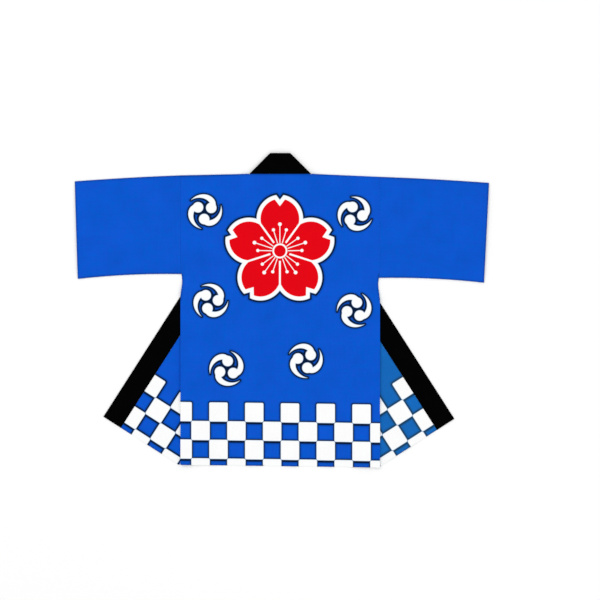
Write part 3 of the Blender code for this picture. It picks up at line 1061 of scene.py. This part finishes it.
def sleeve_point(side, share, around, out):
    """A point of the sleeve.

    around runs from 0 at the underarm, over the lower side to the top fold at 0.5 and
    back over the upper side.  out is the distance out of the middle of the cloth.
    """
    high, low = sleeve_edges(side, share)
    depth = (high - low).length
    up = (high - low) / depth
    span = depth - 2 * ROUND_INSET
    lap = span + ROUND_ARC
    run = (around % 1.0) * 2 * lap - ROUND_ARC / 2
    if run < 0 or run > lap + span:
        edge, way, angle = 0.0, -1, (-run if run < 0 else 2 * lap - run) / ROLL_RADIUS
    elif run <= span:
        edge, way, angle = run, 0, 0.0
    elif run <= lap:
        edge, way, angle = span, 1, (run - span) / ROLL_RADIUS
    else:
        edge, way, angle = lap + span - run, 0, math.pi
    stray = ROUND_INSET + edge + way * (ROLL_RADIUS + out) * math.sin(angle)
    height = CLOTH + AIR / 2 - (ROLL_RADIUS + out) * math.cos(angle)
    upper = 0.5 - 0.5 * math.cos(angle)
    cuff_off = (1 - share) * (side.reach - HALF_WIDTH)
    rise = HEM_RISE * between(out, -CLOTH / 2, CLOTH / 2)
    rise *= 1 - ease(cuff_off, CUFF_TURN - HEM_STEP, CUFF_TURN + HEM_STEP)
    crown = SLEEVE_CROWN * ease(share, 0.0, CROWN_FULL)
    spot = low + up * stray
    crest = between(stray, ROUND_INSET, ROUND_INSET + span)
    swell = 1 - abs(2 * crest - 1) ** CROWN_SQUARENESS
    lift = raised(side.sign * spot.x, spot.y, UPPER_FOLDS) * held_down(depth - stray, stray)
    height += upper * (crown * swell + lift + rise)
    clear = CUFF_LIFT * swell * (1 - ease(cuff_off, CUFF_TURN, 2 * CUFF_TURN))
    lower = clear + UNDER_SHARE * lift * ease(share, UNDER_START, CROWN_FULL)
    height += (1 - upper) * lower
    height -= upper * armhole_dip(side, spot.x - HALF_WIDTH, spot.y)
    return placed(Vector((side.sign * spot.x, spot.y, height)))


def sleeve_shape(side, flat):
    """Where a point of the flat sleeve ends up.  The table presses thread under it."""
    share = (abs(flat.x) - HALF_WIDTH) / (side.reach - HALF_WIDTH)
    around = flat.y / (2 * side.armhole_depth)
    out = flat.z if around > 0.5 else min(flat.z, (CLOTH + THREAD) / 2)
    return sleeve_point(side, share, around, out)


def plain_blue(side, place):
    """Blue all over, with painted shade along the folds at top and underarm and at the cuff."""
    x, y, _ = axes(place)
    off_edge = y.folded(side.armhole_depth).least(-x.size() + side.reach)
    return edge_shaded(laid_over(BLUE, NAVY, noise(place, CLOUDS)), off_edge)


def joined(bm, near, far):
    """A band of faces between two rings of points."""
    corners = zip(near, [*near[1:], near[0]], [*far[1:], far[0]], far)
    return [bm.faces.new(four) for four in corners]


for side in SIDES:
    depth = side.armhole_depth
    length = side.reach - HALF_WIDTH
    dips = SEAM_DIP_REACH / 3, 2 * SEAM_DIP_REACH / 3
    steps = [length - CUFF_TURN + offset for offset in (-HEM_STEP, 0, HEM_STEP)]
    evenly = [length * i / SLEEVE_SECTIONS for i in range(SLEEVE_SECTIONS + 1)]
    sections = sorted({*evenly, *dips, *steps})
    span = depth - 2 * ROUND_INSET
    lap = span + ROUND_ARC
    half = [span * i / ACROSS_SLEEVE for i in range(ACROSS_SLEEVE)]
    half += [span + ROUND_ARC * i / ROUND_STEPS for i in range(ROUND_STEPS)]
    runs = [*half, *(lap + run for run in half)]
    arounds = [(run + ROUND_ARC / 2) / (2 * lap) for run in runs]
    bm = bmesh.new()
    layer = bm.verts.layers.float_vector.new("cut")
    walls = []
    for out in (CLOTH / 2, -CLOTH / 2):
        rings = [[] for section in sections]
        for section, ring in zip(sections, rings):
            for around in arounds:
                vert = bm.verts.new(sleeve_point(side, section / length, around, out))
                x = side.sign * (HALF_WIDTH + section)
                vert[layer] = (x, around * 2 * depth, between(out, -CLOTH / 2, CLOTH / 2))
                ring.append(vert)
        walls.append(rings)
    for rings in walls:
        for near, far in zip(rings, rings[1:]):
            joined(bm, near, far)
    rim = {face for end in (0, -1) for face in joined(bm, walls[0][end], walls[1][end])}
    bmesh.ops.recalc_face_normals(bm, faces=bm.faces[:])
    rounded(bm, rim)
    sleeve = made_piece(bm, bpy.data.meshes.new(side.name + "_sleeve"))
    name = side.name + "_cuff_stitching"
    ends = [Vector((side.sign * (side.reach - CUFF_STITCH_IN), y)) for y in (0, 2 * depth)]
    sewing = sewn(name, *ends, CLOTH / 2, 1, partial(sleeve_shape, side), "body_cloth")
    cotton(side.name + " sleeve cotton", partial(plain_blue, side), [sleeve, sewing])
    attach(sleeve, "root")
    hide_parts("sleeve_" + side.name)


# ==================== the collar
# The collar is one long straight band of black cotton over a stiffener, folded double
# and pressed.  It is sewn round the neck and down both fronts, turns down on a mitre at
# each side of the neck, and turns outwards with each front's crease.

BAND_GRID = 0.004
PRESSED = 0.55  # the band's thickness at its edges, as a share of BAND
PRESSED_REACH = 0.007
MITRE_CENTRE = FRONT_TOP + AIR / 2
MITRE_MIDDLE = BACK_OVER_FRONT + BAND / 2
COLLAR_BLACK = (0.0004, 0.0004, 0.0005)
WORN_BLACK = (0.0012, 0.0012, 0.0014)
WEAR = Noise(30, 2, EVEN, 1)
BAND_STITCH_IN = 0.003  # from the sewn edge to its stitching
BAND_END_CLEAR = 0.004  # from each end of the band to its first stitch

band_sewn = BODY_LENGTH + SEAM / 2
band_free = BODY_LENGTH + COLLAR_WIDTH


def mitre(side):
    return Vector((side.sign * NECK_HALF, BODY_LENGTH)), Vector((side.sign, 1)).normalized()


def mirrored(line, mirror):
    """A line of the folded band, where it is on the flat band."""
    origin, normal = line
    centre, across = mirror
    return origin - across * (2 * (origin - centre).dot(across)), normal.reflect(across)


def band_end(side):
    return side.sign * (NECK_HALF + BODY_LENGTH - side.front_hem)


def collar_shape(flat):
    """Where a point of the flat band ends up.  z is counted from its lower face."""
    off_edge = min(flat.y - band_sewn, band_free - flat.y)
    puff = PRESSED + (1 - PRESSED) * math.sqrt(ease(off_edge, -PRESSED_REACH / 4, PRESSED_REACH))
    height = BAND / 2 + (flat.z - BAND / 2) * puff
    co = Vector((flat.x, flat.y, BACK_OVER_FRONT + height))
    under = 0.0
    for side in SIDES:
        co = folded(co, mitre(side), MITRE_MIDDLE, MITRE_CENTRE)
        if co.x * side.sign > 0 and co.z < MITRE_CENTRE:
            past = beyond(co, crease(side))
            under = ease(past, -FOLD_REACH / 2, FOLD_REACH / 2)
            co = folded(co, crease(side), FOLD_MIDDLE, FOLD_CENTRE)
    return placed(settled(co, under, BODY_LENGTH - co.y, HALF_WIDTH))


def own_side(side, co):
    return co.x * side.sign > NECK_HALF / 4


left_end, right_end = band_end(LEFT), band_end(RIGHT)
outline = [(x, band_sewn) for x in (left_end, right_end)]
outline += [(x, band_free) for x in (right_end, left_end)]
band = flat_cloth(outline, 0, BAND, BAND_GRID)
for side in SIDES:
    lines = fold_lines(mitre(side), MITRE_MIDDLE - MITRE_CENTRE)
    lines += [mirrored(line, mitre(side)) for line in fold_lines(crease(side), FOLD_RADIUS)]
    cut(band, lines, partial(own_side, side))
collar = finished(band, "collar_band", collar_shape, lambda co: 1.0)

ends = left_end + BAND_END_CLEAR, right_end - BAND_END_CLEAR
ends = [Vector((x, band_sewn + BAND_STITCH_IN)) for x in ends]
collar_sewing = sewn("collar_stitching", *ends, BAND, 1, collar_shape, "collar_cloth")


def worn_black(place):
    return laid_over(COLLAR_BLACK, WORN_BLACK, noise(place, WEAR))


pieces = collar, collar_sewing
cotton("black collar cotton", worn_black, pieces, gloss=0.012, sheen=0.002)
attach(collar, "root")
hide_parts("collar")


# ==================== the table, lights and camera
# The coat lies on a plain table painted matt white.  The light is soft and even, and the
# camera looks straight down.

TABLE_SIDE = 14.0
TABLE_DROP = 0.0002  # just clear of the stitches under the cuffs
TABLE_WHITE = (0.97, 0.97, 0.97)
TABLE_ROUGH = 0.9
TABLE_GLOSS = 0.1
bpy.ops.mesh.primitive_plane_add(size=TABLE_SIDE, location=(0, 0, -TABLE_DROP))
table = bpy.context.object
table.name = "table"
bpy.ops.object.transform_apply()
white_paint = bpy.data.materials.new("matt white table")
white_paint.use_nodes = True
paint = white_paint.node_tree.nodes["Principled BSDF"]
paint.inputs["Base Color"].default_value = (*TABLE_WHITE, 1.0)
paint.inputs["Roughness"].default_value = TABLE_ROUGH
paint.inputs["Specular IOR Level"].default_value = TABLE_GLOSS
table.data.materials.append(white_paint)

SKY = 0.89
world = bpy.data.worlds.new("studio")
scene.world = world
world.use_nodes = True
sky = world.node_tree.nodes["Background"]
sky.inputs["Color"].default_value = (1, 1, 1, 1)
sky.inputs["Strength"].default_value = SKY

LAMPS = (
    ("key", (-2.2, 2.4, 3.0), 1.8, 30.0),
    ("fill", (2.6, -1.6, 3.2), 2.6, 18.0),
)
for name, place, width, power in LAMPS:
    light = bpy.data.lights.new(name, "AREA")
    light.size = width
    light.energy = power
    holder = new_object(name, light)
    holder.location = place
    holder.rotation_euler = (-Vector(place)).to_track_quat("-Z", "Y").to_euler()

VIEW_WIDTH = 1.800  # of the table, across the picture
VIEW_CENTRE = (0.0543, 0.0310)
LENS = 100.0
SENSOR = 36.0
FARTHEST = 50.0  # that the camera sees
camera = bpy.data.cameras.new("camera")
camera.lens = LENS
camera.sensor_width = SENSOR
camera.clip_end = FARTHEST
viewer = new_object("camera", camera)
viewer.location = (*VIEW_CENTRE, VIEW_WIDTH * LENS / SENSOR)
scene.camera = viewer
scene.view_settings.view_transform = "Standard"
